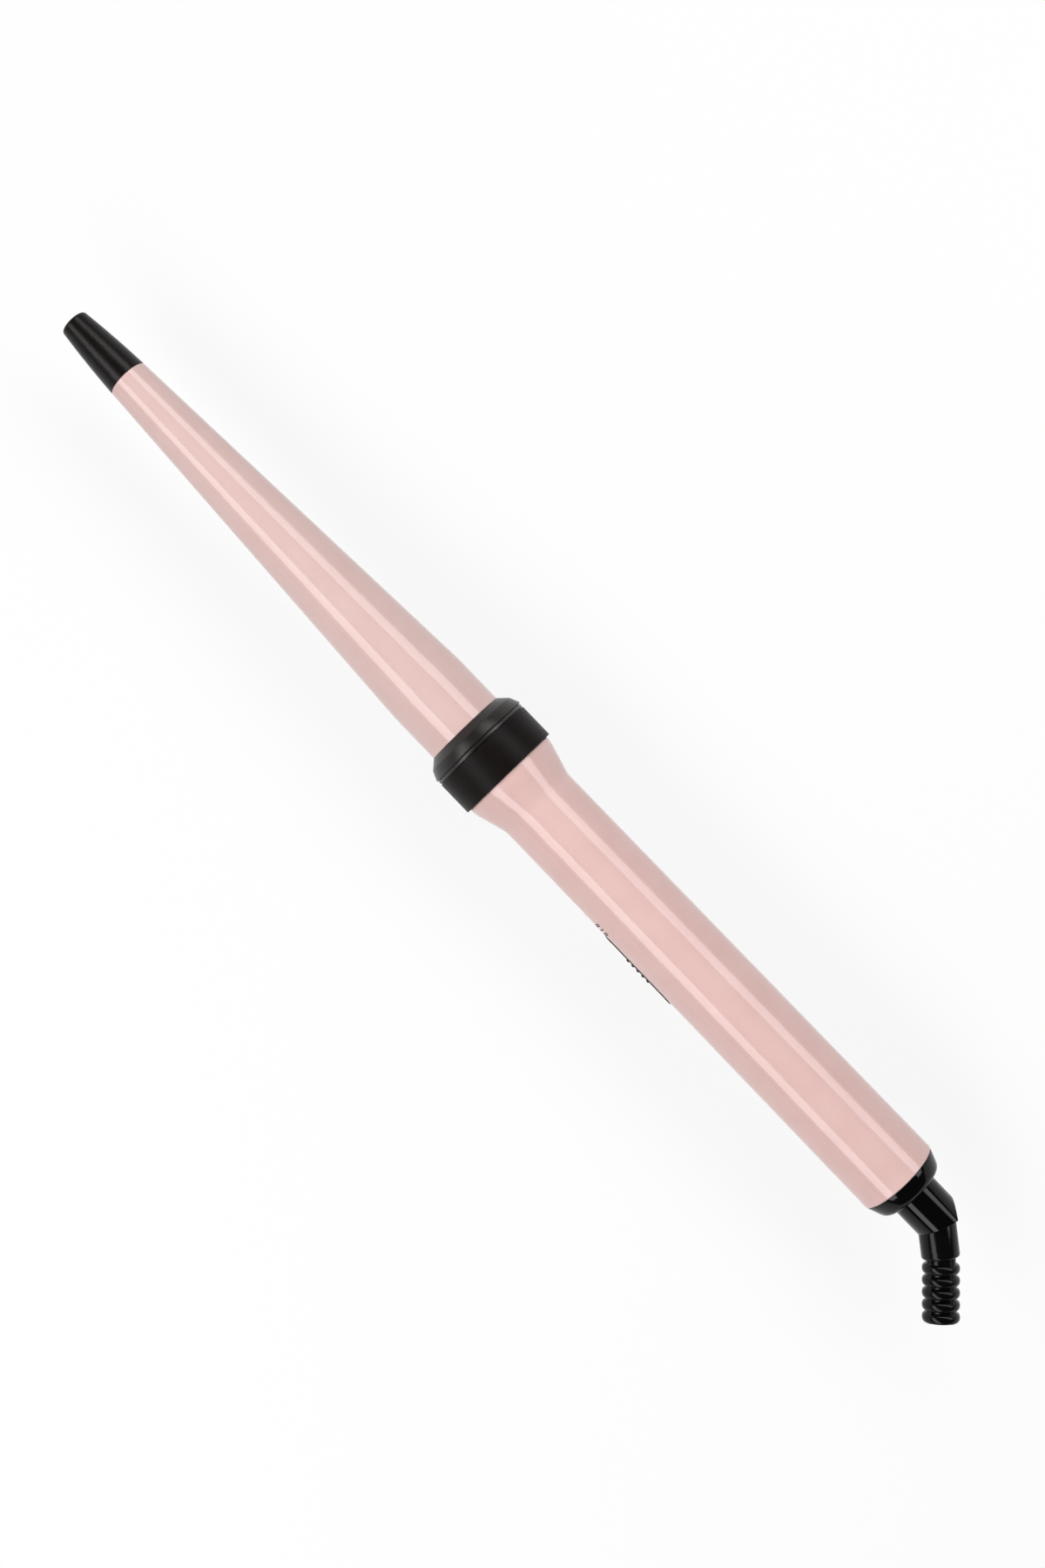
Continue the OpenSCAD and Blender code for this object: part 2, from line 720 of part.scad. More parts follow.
// Path of a lead from inside the barrel, through the passage, to the board's underside
function lead_path(start, straight, gate_x, pass, under, end_x, d) = let (
    foot = [end_x, under[0], board_h - seat_gap],
    gate = [gate_x, pass[0], pass[1]],
    out = start + [straight, 0, 0])
    concat(
        [start],
        curve([out, out + [lead_ease, 0, 0], gate - [lead_ease, 0, 0], gate], 8),
        [[chassis_x + chassis_end_t + post_len, pass[0], pass[1]]],
        curve([foot + [-lead_turn, 0, under[1] - foot[2]], [foot[0], foot[1], under[1]],
            [foot[0], foot[1], under[1]], foot - [0, 0, d]], 6),
        [foot]);

module thermistor_lead() {
    start = [shoe_back_x - sensor_depth + sensor_len + seat_gap, 0, -sensor_offset];
    straight = sensor_depth - sensor_len + sensor_lead_d;
    end_x = board_front_x + sensor_end_inset;
    path = lead_path(start, straight, spacer_x - lead_d, sensor_pass, sensor_under, end_x, sensor_lead_d);
    color("#d9d2c0") facing_switch() swept(path, sensor_lead_d / 2, [0, 1, 0]);
}

module thermal_fuse() {
    color("#c7c9cc") facing_switch() {
        rod(fuse_x, fuse_x + fuse_len, fuse_d / 2, 0, fuse_z);
        rod(tail_x - tail_len / 2, fuse_x + cut, fuse_wire_r, 0, fuse_z);
    }
}

module heater_lead_live() {
    start = [fuse_x + fuse_len + seat_gap, 0, fuse_z];
    end_x = board_front_x + lead_end_inset;
    path = lead_path(start, lead_d, chassis_x, lead_pass, lead_under, end_x, lead_d);
    color("#c8c8c8") facing_switch() swept(path, lead_d / 2, [0, 1, 0]);
}

module heater_lead_neutral() {
    start = [tail_x - tail_len / 2, 0, -electrode_z - electrode_t - seat_gap - lead_d / 2];
    pass = [-lead_pass[0], lead_pass[1]];
    under = [-lead_under[0], lead_under[1]];
    path = lead_path(start, tail_len, chassis_x, pass, under, board_front_x + lead_end_inset, lead_d);
    color("#d8d8d8") facing_switch() swept(path, lead_d / 2, [0, 1, 0]);
}

module barrel_socket() {
    front_x = nose_len + seat_gap;
    back_x = web_x + web_t;
    plug_x = handle_x + socket_plug_len;
    step_x = handle_x - seat_gap;
    cup_r = chassis_r + seat_gap * 2;
    color("#2a2826") difference() {
        turned([
            [front_x, seat_r + seat_gap], [front_x, socket_r], [step_x, socket_r],
            [step_x, mouth_r(handle_x) - seat_gap], [plug_x, mouth_r(plug_x) - seat_gap], [plug_x, cup_r],
            [back_x, cup_r], [back_x, passage_r], [web_x, passage_r], [web_x, seat_r + seat_gap]
        ]);
        for (side = [0, 180]) rotate([side, 0, 0]) translate([barrel_screw_x, 0, 0]) {
            cylinder(h = socket_r + cut, r = screw_r + seat_gap);
            translate([0, 0, socket_r - 2 * seat_gap - screw_head_h])
                cylinder(h = screw_head_h + cut, r = screw_head_r + seat_gap);
        }
        facing_switch() for (side = [-1, 1]) {
            rod(web_x - cut, back_x + cut, screw_r + seat_gap, side * socket_screw_y, -socket_screw_y);
            rod(web_x - cut, web_x + screw_head_h + seat_gap, screw_head_r + seat_gap,
                side * socket_screw_y, -socket_screw_y);
        }
    }
}

module barrel_screws() {
    head_r = socket_r - seat_gap;
    length = head_r - screw_head_h - (root_r - barrel_wall - seat_gap);
    color("#77797c") for (side = [90, -90])
        translate([barrel_screw_x, 0, 0]) rotate([0, side, 0])
            translate([-head_r + screw_head_h, 0, 0]) screw(length);
}

module socket_screws() {
    color("#77797c") facing_switch() for (side = [-1, 1])
        translate([web_x + screw_head_h, side * socket_screw_y, -socket_screw_y])
            screw(web_t + chassis_end_t + post_len - 2 * screw_head_h);
}

module nose_ring() {
    inner = root_r + seat_gap;
    color("#232222") turned([
        [ring_gap, inner], [ring_gap, inner + 2 * seat_gap], [nose_bevel_len, bevel_r],
        [nose_len - nose_lip, ring_r], [nose_len, ring_r - nose_lip], [nose_len, skirt_r],
        [nose_len + skirt_len, skirt_r], [nose_len + skirt_len, socket_r + seat_gap],
        [nose_len, socket_r + seat_gap], [nose_len, inner]
    ]);
}

module trim_ring() {
    middle = nose_len + groove_w / 2;
    color("#4a4846") sleeve(middle - trim_w / 2, middle + trim_w / 2,
        skirt_r + seat_gap, band_r - trim_depth);
}

module collar_band() {
    step_x = nose_len + skirt_len + seat_gap;
    back_x = handle_x - seat_gap;
    color("#1e1d1d") turned(concat(
        [[band_x, skirt_r + seat_gap], [band_x, band_r - band_edge / 2], [band_x + band_edge / 2, band_r]],
        corner([back_x - 3 * band_edge, band_r], [back_x, band_r], [back_x, band_r - band_edge], 4),
        [[back_x, socket_r + seat_gap], [step_x, socket_r + seat_gap], [step_x, skirt_r + seat_gap]]));
}

module handle_shell() {
    land = [handle_x + shoulder_land, handle_front_r];
    foot = [shoulder_foot_x, neck_r];
    slope = unit(foot - land);
    level = [1, 0];
    bore_x = handle_x + shoulder_len + shoulder_blend;
    color("#e9c5c0") difference() {
        turned(concat(
            [[handle_x, handle_front_r - rim_edge], [handle_x + rim_edge, handle_front_r]],
            corner(land - level * (shoulder_blend - rim_edge), land, land + slope * shoulder_blend, 6),
            corner(foot - slope * shoulder_blend, foot,
                [foot[0] + shoulder_blend, handle_r(foot[0] + shoulder_blend)], 6),
            [
                [cap_x - rim_edge, handle_r(cap_x - rim_edge)], [cap_x, end_r - rim_edge],
                [cap_x, handle_bore_r], [bore_x, handle_bore_r], [handle_x, handle_mouth_r]
            ]));
        facing_switch() {
            difference() {
                stadium(plate_len, plate_w, 2 * neck_r);
                handle_layer(-2 * handle_wall, -plate_seat);
                block(switch_x - plate_len, switch_x + plate_len, plate_w,
                    -neck_r, handle_bore_r - handle_wall);
            }
            block(switch_x - opening_len / 2, switch_x + opening_len / 2, opening_w, 0, 2 * neck_r);
            translate([lens_x, 0, 0]) cylinder(h = 2 * neck_r, r = lens_d / 2 + seat_gap);
        }
    }
}

// Half-round tray with end walls, screw posts and board bosses
module chassis() {
    rim = board_h - seat_gap;
    color("#d5d2c8") facing_switch() difference() {
        union() {
            difference() {
                rod(chassis_x, chassis_back_x, chassis_r);
                rod(chassis_x + chassis_end_t, chassis_back_x - chassis_end_t, chassis_r - chassis_wall);
                block(chassis_x - cut, chassis_back_x + cut, 3 * chassis_r, rim, 2 * chassis_r);
            }
            for (side = [-1, 1]) {
                rod(chassis_x + chassis_end_t / 2, chassis_x + chassis_end_t + post_len, post_r,
                    side * socket_screw_y, -socket_screw_y);
                rod(chassis_back_x - chassis_end_t - post_len, chassis_back_x - chassis_end_t / 2, post_r,
                    side * plug_screw_y, plug_screw_z);
            }
            for (x = [board_front_x + board_screw_inset, board_back_x - board_screw_inset])
                translate([x, 0, -chassis_r + chassis_wall / 2])
                    cylinder(h = chassis_r - chassis_wall / 2 + rim, r = post_r);
        }
        rod(chassis_x - cut, chassis_x + chassis_end_t + cut, passage_r);
        for (side = [-1, 1]) {
            rod(chassis_x - cut, chassis_x + chassis_end_t + post_len + cut, screw_r + seat_gap,
                side * socket_screw_y, -socket_screw_y);
            rod(chassis_back_x - chassis_end_t - post_len - cut, chassis_back_x + cut, screw_r + seat_gap,
                side * plug_screw_y, plug_screw_z);
        }
        for (x = [board_front_x + board_screw_inset, board_back_x - board_screw_inset])
            translate([x, 0, -chassis_r / 2]) cylinder(h = 2 * chassis_r, r = screw_r + seat_gap);
    }
}

module control_board() {
    color("#2f6b3f") facing_switch() difference() {
        block(board_front_x, board_back_x, board_w, board_h, board_top);
        for (x = [board_front_x + board_screw_inset, board_back_x - board_screw_inset])
            translate([x, 0, board_h - cut]) cylinder(h = board_t + 2 * cut, r = screw_r + seat_gap);
    }
}

module board_screws() {
    color("#77797c") facing_switch()
        for (x = [board_front_x + board_screw_inset, board_back_x - board_screw_inset])
            translate([x, 0, board_top + seat_gap]) rotate([0, 90, 0]) screw(board_t + post_len - screw_d);
}

module film_capacitor() {
    x = switch_x + case_len / 2 + triac_len + 2 * part_space;
    color("#b8862f") facing_switch()
        block(x, x + capacitor_len, capacitor_w, board_top + seat_gap, board_top + seat_gap + capacitor_h);
}

module triac() {
    x = switch_x + case_len / 2 + part_space;
    color("#2b2b2d") facing_switch()
        block(x, x + triac_len, triac_w, board_top + seat_gap, board_top + seat_gap + triac_t);
}

module control_chip() {
    x = switch_x - case_len / 2 - part_space - chip_len;
    color("#232325") facing_switch()
        block(x, x + chip_len, chip_w, board_top + seat_gap, board_top + seat_gap + chip_t);
}

module switch_case() {
    slot_len = lever_len + 2 * slider_travel + 2 * slide_gap;
    color("#3a3a3c") facing_switch() difference() {
        block(switch_x - case_len / 2, switch_x + case_len / 2, case_w, board_top + seat_gap, case_top);
        block(switch_x - slot_len / 2, switch_x + slot_len / 2, lever_w + 2 * slide_gap,
            lever_foot_z - slide_gap, case_top + cut);
    }
}

module switch_lever() {
    color("#e6e3da") facing_switch()
        block(switch_x - lever_len / 2, switch_x + lever_len / 2, lever_w,
            lever_foot_z, fork_roof_z - seat_gap);
}

// Thumb slider: ridged cap, curved shutter under the plate, and a fork over the lever
module switch_slider() {
    shutter_top = -plate_seat - slide_gap / 2;
    shutter_foot = shutter_top - shutter_t;
    fork_top = handle_r(switch_x) + shutter_top - shutter_t / 2;
    color("#1f1e1e") facing_switch() difference() {
        union() {
            intersection() {
                handle_layer(shutter_foot, plate_proud);
                block(switch_x - slider_len / 2, switch_x + slider_len / 2, slider_w, 0, 2 * neck_r);
            }
            intersection() {
                handle_layer(shutter_foot, shutter_top);
                block(switch_x - shutter_len / 2, switch_x + shutter_len / 2, shutter_w, 0, 2 * neck_r);
            }
            for (i = [0:ridge_count - 1]) {
                x = switch_x + (i - (ridge_count - 1) / 2) * ridge_pitch;
                intersection() {
                    handle_layer(0, plate_proud + ridge_h);
                    block(x - ridge_w / 2, x + ridge_w / 2, slider_w, 0, 2 * neck_r);
                }
            }
            block(switch_x - fork_len / 2, switch_x + fork_len / 2, fork_w, fork_foot_z, fork_top);
        }
        block(switch_x - lever_len / 2 - seat_gap, switch_x + lever_len / 2 + seat_gap,
            lever_w + 2 * seat_gap, fork_foot_z - cut, fork_roof_z);
    }
}

module switch_plate() {
    color("#161616") facing_switch() difference() {
        intersection() {
            handle_layer(-seat_drop, plate_proud);
            stadium(plate_len - 2 * seat_gap, plate_w - 2 * seat_gap, 2 * neck_r);
        }
        block(switch_x - window_len / 2, switch_x + window_len / 2, window_w, 0, 2 * neck_r);
    }
}

module indicator_led() {
    color("#d8cfc0") facing_switch() translate([lens_x, 0, board_top + seat_gap])
        cylinder(h = led_h, r = lens_d / 2 + free_gap);
}

// Light pipe with a flange under the handle's wall
module indicator_lens() {
    flange_r = lens_d / 2 + 2 * free_gap;
    flange_z = sqrt(pow(handle_bore_r, 2) - pow(flange_r, 2)) - seat_gap;
    foot_z = board_top + led_h + free_gap;
    color("#d9554a") facing_switch() translate([lens_x, 0, 0]) {
        translate([0, 0, foot_z]) cylinder(h = handle_r(lens_x) + plate_proud / 2 - foot_z, r = lens_d / 2);
        translate([0, 0, flange_z - flange_t]) cylinder(h = flange_t, r = flange_r);
    }
}

module rear_plug() {
    floor_x = plug_front_x + plug_wall;
    color("#3b3938") facing_switch() difference() {
        turned([
            [plug_front_x, 0], [plug_front_x, plug_r], [plug_back_x, plug_r], [plug_back_x, plug_bore_r],
            [floor_x, plug_bore_r], [floor_x, 0]
        ]);
        for (side = [-1, 1])
            rod(plug_front_x - cut, floor_x + cut, screw_r + seat_gap, side * plug_screw_y, plug_screw_z);
        contact_slot(slip_front_x, 1);
        contact_slot(slip_rear_x, -1);
    }
}

// Slot in the rear plug for one contact's tab and its lead
module contact_slot(ring_x, side) {
    back_x = ring_x + slip_ring_w + slide_gap;
    translate([0, side * contact_side, 0])
        block(plug_front_x - cut, back_x, slot_w, contact_z, 2 * plug_r);
}

module plug_screws() {
    color("#77797c") facing_switch() for (side = [-1, 1])
        translate([plug_front_x + plug_wall + seat_gap, side * plug_screw_y, plug_screw_z])
            rotate([0, 180, 0]) screw(plug_wall + chassis_end_t + post_len - screw_d);
}

// Sprung leaf that rubs on a slip ring, with a tab in the plug's slot
module contact(ring_x, side) {
    width = slip_ring_w - 2 * slide_gap;
    reach = sqrt(pow(plug_bore_r - slide_gap, 2) - pow(contact_z + contact_t, 2));
    outer = contact_side + slot_w / 2 - seat_gap;
    translate([ring_x + slide_gap, 0, 0]) {
        translate([0, side > 0 ? -reach : -outer, contact_z]) cube([width, reach + outer, contact_t]);
        translate([0, side > 0 ? outer - contact_t : -outer, contact_z])
            cube([width, contact_t, tab_h]);
    }
}

module contact_front() {
    color("#b98a4a") facing_switch() contact(slip_front_x, 1);
}

module contact_rear() {
    color("#b98a4a") facing_switch() contact(slip_rear_x, -1);
}

// Lead from a contact's tab, along its slot, to the back end of the board
module mains_lead(ring_x, side) {
    z = contact_z + contact_t + seat_gap + lead_d / 2;
    y = side * (contact_side - contact_t / 2);
    foot = [board_back_x - mains_end_inset, side * mains_side, board_top + seat_gap];
    gate = [plug_front_x, y, z];
    turn = [foot[0], foot[1], z];
    swept(concat(
        [[ring_x + slip_ring_w - 2 * slide_gap, y, z]],
        curve([gate, gate - [lead_ease, 0, 0], turn + [2 * lead_turn + lead_ease, 0, 0],
            turn + [2 * lead_turn, 0, 0]], 6),
        curve([turn + [lead_turn, 0, 0], turn, turn, foot + [0, 0, lead_d]], 6),
        [foot]), lead_d / 2, [0, 1, 0]);
}

module mains_lead_live() {
    color("#7a4a2a") facing_switch() mains_lead(slip_front_x, 1);
}

module mains_lead_neutral() {
    color("#2a4a8a") facing_switch() mains_lead(slip_rear_x, -1);
}

module end_cap() {
    base_x = cap_x + seat_gap;
    base_r = end_r - cap_step;
    bevel = [cap_x + cap_bevel_len, base_r - cap_bevel_drop];
    recess_r = collar_r + free_gap;
    recess_x = collar_x + stem_collar_t + free_gap;
    bore = stem_r + run_gap;
    color("#131313") turned(concat(
        [[base_x, plug_r + seat_gap], [base_x, base_r]],
        corner(bevel, [stem_x, base_r - cap_bevel_drop * cap_len / cap_bevel_len],
            [stem_x, bevel[1] - cap_round], 8),
        [
            [stem_x, bore], [recess_x, bore], [recess_x, recess_r],
            [plug_back_x + seat_gap, recess_r], [plug_back_x + seat_gap, plug_r + seat_gap]
        ]));
}

// Turning stem: slip-ring nose, collar inside the cap, shaft, and an angled spigot for the boot
module swivel_stem() {
    nose_end = collar_x + stem_collar_t;
    color("#141414") difference() {
        union() {
            intersection() {
                turned([
                    [nose_x, 0], [nose_x, nose_r], [collar_x, nose_r],
                    [collar_x, collar_r], [nose_end, collar_r], [nose_end, stem_r],
                    [mitre_x + stem_d, stem_r], [mitre_x + stem_d, 0]
                ]);
                elbow_room();
            }
            along_root() rod(-stem_edge, spigot_len, nipple_r);
        }
        rod(nose_x - cut, mitre_x - stem_edge, stem_bore_d / 2);
        along_root() rod(-2 * stem_edge, spigot_len + cut, stem_bore_d / 2);
    }
}

module slip_ring_front() {
    color("#c9a03c") sleeve(slip_front_x, slip_front_x + slip_ring_w, nose_r + seat_gap, slip_ring_r);
}

module slip_ring_rear() {
    color("#c9a03c") sleeve(slip_rear_x, slip_rear_x + slip_ring_w, nose_r + seat_gap, slip_ring_r);
}

// Soft boot: smooth root on the stem's end, then ribs joined by spines
module strain_relief() {
    sleeve_r = sleeve_d / 2;
    rib_r = rib_d / 2;
    lobe = rib_w / 4;
    far = 2 * mitre_x;
    bore_start = -root_lap - cord_bore_d / 2 * tan(rib_bend) - seat_gap;
    color("#181717") difference() {
        union() {
            intersection() {
                along_root() rod(-boot_d, boot_root_len, boot_r);
                translate([mitre_x + elbow_len, 0, 0]) rotate([0, 0, -boot_bend / 2])
                    translate([seat_gap, -boot_d * 2, -boot_d]) cube([far, boot_d * 4, boot_d * 2]);
            }
            along_ribs() {
                rod(-root_lap, rib_len, sleeve_r);
                for (i = [0:rib_count - 1]) {
                    x = rib_start + i * rib_pitch;
                    turned([
                        [x - rib_w / 2, 0], [x - rib_w / 2, rib_r - 2 * lobe], [x - lobe, rib_r - lobe / 4],
                        [x - lobe / 2, rib_r], [x + lobe / 2, rib_r], [x + lobe, rib_r - lobe / 4],
                        [x + rib_w / 2, rib_r - 2 * lobe], [x + rib_w / 2, 0]
                    ]);
                }
                for (i = [0:spine_count - 1]) rotate([360 * i / spine_count - spine_turn, 0, 0])
                    block(-root_lap * 3 / 4, rib_len, spine_w, 0, spine_d / 2);
            }
        }
        along_root() rod(-boot_d, boot_root_len - root_lap, nipple_r + seat_gap);
        along_ribs() rod(bore_start, rib_len + cut, cord_bore_d / 2);
    }
}

cool_tip();
tip_clip();
barrel();
heater_shoe_upper();
heater_shoe_lower();
ptc_tablets();
electrode_upper();
electrode_lower();
heater_film();
heater_spring();
heater_spacer();
thermistor();
thermistor_lead();
thermal_fuse();
heater_lead_live();
heater_lead_neutral();
barrel_socket();
barrel_screws();
socket_screws();
nose_ring();
trim_ring();
collar_band();
handle_shell();
chassis();
control_board();
board_screws();
film_capacitor();
triac();
control_chip();
switch_case();
switch_lever();
switch_slider();
switch_plate();
indicator_led();
indicator_lens();
rear_plug();
plug_screws();
contact_front();
contact_rear();
mains_lead_live();
mains_lead_neutral();
end_cap();
swivel_stem();
slip_ring_front();
slip_ring_rear();
strain_relief();
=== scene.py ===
import math

import bpy
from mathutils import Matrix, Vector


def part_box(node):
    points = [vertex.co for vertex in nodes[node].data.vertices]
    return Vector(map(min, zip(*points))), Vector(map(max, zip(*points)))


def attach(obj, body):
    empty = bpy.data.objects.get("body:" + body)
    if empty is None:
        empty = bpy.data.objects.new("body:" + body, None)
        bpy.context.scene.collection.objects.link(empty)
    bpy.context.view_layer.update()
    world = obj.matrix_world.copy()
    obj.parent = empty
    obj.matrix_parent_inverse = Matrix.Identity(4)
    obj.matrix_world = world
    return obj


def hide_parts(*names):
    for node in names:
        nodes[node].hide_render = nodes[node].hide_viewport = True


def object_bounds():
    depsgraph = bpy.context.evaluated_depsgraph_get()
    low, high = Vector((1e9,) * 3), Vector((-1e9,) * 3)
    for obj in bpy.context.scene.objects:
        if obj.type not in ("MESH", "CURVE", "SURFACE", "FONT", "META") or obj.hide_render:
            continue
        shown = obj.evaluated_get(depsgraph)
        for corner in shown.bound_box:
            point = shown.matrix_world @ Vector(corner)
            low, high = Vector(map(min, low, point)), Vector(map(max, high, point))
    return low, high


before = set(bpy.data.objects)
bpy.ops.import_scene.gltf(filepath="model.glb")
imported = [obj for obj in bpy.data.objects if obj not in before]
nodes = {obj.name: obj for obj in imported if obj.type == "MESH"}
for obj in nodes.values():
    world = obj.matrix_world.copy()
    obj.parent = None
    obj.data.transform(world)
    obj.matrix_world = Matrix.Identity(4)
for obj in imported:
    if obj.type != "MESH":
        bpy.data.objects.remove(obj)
cad_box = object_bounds()


# Barrel
# A drawn aluminium cone, straight for its last 16 mm, with a pink ceramic lacquer baked on outside.
# Its bare seat slides into the socket behind the nose ring, where two small screws hold it.

MM = 0.001


def linear(colour):
    """An sRGB hex colour as the linear RGBA that the shaders take."""
    parts = [int(colour[i:i + 2], 16) / 255 for i in (1, 3, 5)]
    return [c / 12.92 if c <= 0.04045 else ((c + 0.055) / 1.055) ** 2.4 for c in parts] + [1.0]


def empty_tree(owner):
    """The node tree of a material or a world, cleared of what it starts with."""
    owner.use_nodes = True
    owner.node_tree.nodes.clear()
    return owner.node_tree


def add_node(tree, kind, **inputs):
    """Adds a shader node; each input is a value or another node's socket."""
    node = tree.nodes.new("ShaderNode" + kind)
    for name, value in inputs.items():
        socket = node.inputs[name.replace("_", " ")]
        if isinstance(value, bpy.types.NodeSocket):
            tree.links.new(value, socket)
        else:
            socket.default_value = value
    return node


def two_tones(tree, noise, shade, colour, spread):
    """A colour that drifts from one tone to another over the middle of a noise."""
    drift = add_node(tree, "ValToRGB", Fac=noise.outputs["Fac"])
    dark, light = drift.color_ramp.elements
    dark.position = 0.5 - spread
    dark.color = linear(shade)
    light.position = 0.5 + spread
    light.color = linear(colour)
    return drift.outputs["Color"]


def grained_shader(tree, tones, grain, roughness, uneven, relief_mm, **surface):
    """Ends a material in a shader whose gloss and relief follow a grain."""
    gloss = add_node(tree, "MapRange", Value=grain.outputs["Fac"], From_Min=0.3, From_Max=0.7,
                     To_Min=roughness * (1 - uneven), To_Max=roughness * (1 + uneven))
    relief = add_node(tree, "Bump", Height=grain.outputs["Fac"], Distance=relief_mm * MM)
    shader = add_node(tree, "BsdfPrincipled", Base_Color=tones, Roughness=gloss.outputs["Result"],
                      Normal=relief.outputs["Normal"], **surface)
    add_node(tree, "OutputMaterial", Surface=shader.outputs["BSDF"])


def moulded(name, colour, shade, roughness, grain_mm, relief_mm, cloud_mm=9, **surface):
    """A moulded or lacquered finish: its colour drifts a little, and its gloss and relief have a grain."""
    finish = bpy.data.materials.new(name)
    tree = empty_tree(finish)
    place = add_node(tree, "TexCoord").outputs["Object"]
    cloud = add_node(tree, "TexNoise", Vector=place, Scale=1 / (cloud_mm * MM), Detail=2.0)
    grain = add_node(tree, "TexNoise", Vector=place, Scale=1 / (grain_mm * MM), Detail=2.0)
    tones = two_tones(tree, cloud, shade, colour, spread=0.15)
    grained_shader(tree, tones, grain, roughness, uneven=0.15, relief_mm=relief_mm, **surface)
    return finish


def dress(finish, *names):
    """Gives CAD nodes their finish."""
    for name in names:
        for slot in nodes[name].material_slots:
            slot.material = finish


# Baked ceramic lacquer: a pale pink, wet-looking gloss. The sprayed film is not quite level, so the
# edges of reflected lights waver over a few millimetres.
pink_lacquer = moulded("pink_ceramic_lacquer", "#e6c6c1", "#e4c3be", roughness=0.07, grain_mm=7,
                       relief_mm=0.02, IOR=1.5, Specular_IOR_Level=0.42)
dress(pink_lacquer, "barrel")


# Heater
# Three ceramic tablets between two brass strips, wrapped in amber film and pressed by two half-round
# aluminium shoes against the barrel's bore. A coil spring pushes the pack forward from the spacer.

def metal(name, colour, shade, roughness, streak_mm):
    """A bare metal finish, drawn or rolled along the wand, so that its fine streaks run that way."""
    finish = bpy.data.materials.new(name)
    tree = empty_tree(finish)
    place = add_node(tree, "TexCoord").outputs["Object"]
    along = add_node(tree, "Mapping", Vector=place, Scale=(0.06, 1.0, 1.0))
    streak = add_node(tree, "TexNoise", Vector=along.outputs["Vector"], Scale=1 / (streak_mm * MM),
                      Detail=3.0)
    tones = two_tones(tree, streak, shade, colour, spread=0.2)
    grained_shader(tree, tones, streak, roughness, uneven=0.2, relief_mm=0.01, Metallic=1.0)
    return finish


# Extruded aluminium: pale, with drawing lines along the wand.
dress(metal("extruded_aluminium", "#c3c6c9", "#aeb1b5", roughness=0.32, streak_mm=0.4),
      "heater_shoe_upper", "heater_shoe_lower", "thermal_fuse")

# Rolled brass: warm yellow with darker rolling marks.
brass = metal("rolled_brass", "#cfae62", "#b8923f", roughness=0.28, streak_mm=0.5)
dress(brass, "electrode_upper", "electrode_lower")

# Spring wire: cold-drawn steel, grey with a dull shine.
spring_wire = metal("drawn_spring_steel", "#a3a6aa", "#85888d", roughness=0.35, streak_mm=0.3)
dress(spring_wire, "heater_spring", "tip_clip")

# Sintered barium titanate: dull dark grey with a sandy grain.
dress(moulded("sintered_ceramic", "#625c56", "#4f4a45", roughness=0.75, grain_mm=0.35, relief_mm=0.03,
              cloud_mm=2), "ptc_tablets")

# Polyimide film: clear amber, glossy, with faint creases.
dress(moulded("amber_polyimide_film", "#bd8232", "#a66c24", roughness=0.18, grain_mm=2.5, relief_mm=0.05,
              cloud_mm=5), "heater_film")

# Steatite: unglazed white ceramic, chalky.
dress(moulded("white_steatite", "#ebe7dc", "#ded9cb", roughness=0.6, grain_mm=0.3, relief_mm=0.02,
              cloud_mm=4), "heater_spacer")

# Glass bead: brown sealing glass, smooth.
dress(moulded("brown_sealing_glass", "#a9522f", "#8c3f22", roughness=0.1, grain_mm=1.5, relief_mm=0.01,
              cloud_mm=2), "thermistor")

# Silicone sleeving: soft white, slightly waxy.
dress(moulded("white_silicone_sleeve", "#dcd9d0", "#cfcbc0", roughness=0.5, grain_mm=0.6, relief_mm=0.02,
              cloud_mm=3), "thermistor_lead", "heater_lead_live", "heater_lead_neutral")


# Cool tip
# A hollow moulding of heat-proof nylon that stays cool enough to hold. Its spigot goes into the
# barrel's mouth, where a sprung ring snaps into a groove.

# Glass-filled nylon with a spark-eroded mould face: a soft satin black, with broad weak highlights.
satin_nylon = moulded("satin_black_nylon", "#15110f", "#100d0c", roughness=0.31, grain_mm=0.5,
                      relief_mm=0.01, cloud_mm=5, Specular_IOR_Level=0.19)
dress(satin_nylon, "cool_tip")


# Collar
# A black resin socket holds the barrel's root. A bevelled nose ring, a thin trim ring and a plain band
# cover it, and two screws through its web hold the chassis in the handle.

SAME_POINT = 0.002 * MM


def select_only(piece):
    """Makes a piece the one that operators act on."""
    bpy.ops.object.select_all(action="DESELECT")
    piece.select_set(True)
    bpy.context.view_layer.objects.active = piece


def open_mesh(piece):
    """Opens a piece's mesh for editing, with all of it selected."""
    select_only(piece)
    bpy.ops.object.mode_set(mode="EDIT")
    bpy.ops.mesh.select_all(action="SELECT")


def ease_edges(piece, round_mm, sharp=28):
    """Rounds a piece's sharp edges, as a mould does."""
    ease = piece.modifiers.new("eased_edges", "BEVEL")
    ease.width = round_mm * MM
    ease.segments = 3
    ease.limit_method = "ANGLE"
    ease.angle_limit = math.radians(sharp)
    select_only(piece)
    bpy.ops.object.modifier_apply(modifier=ease.name)


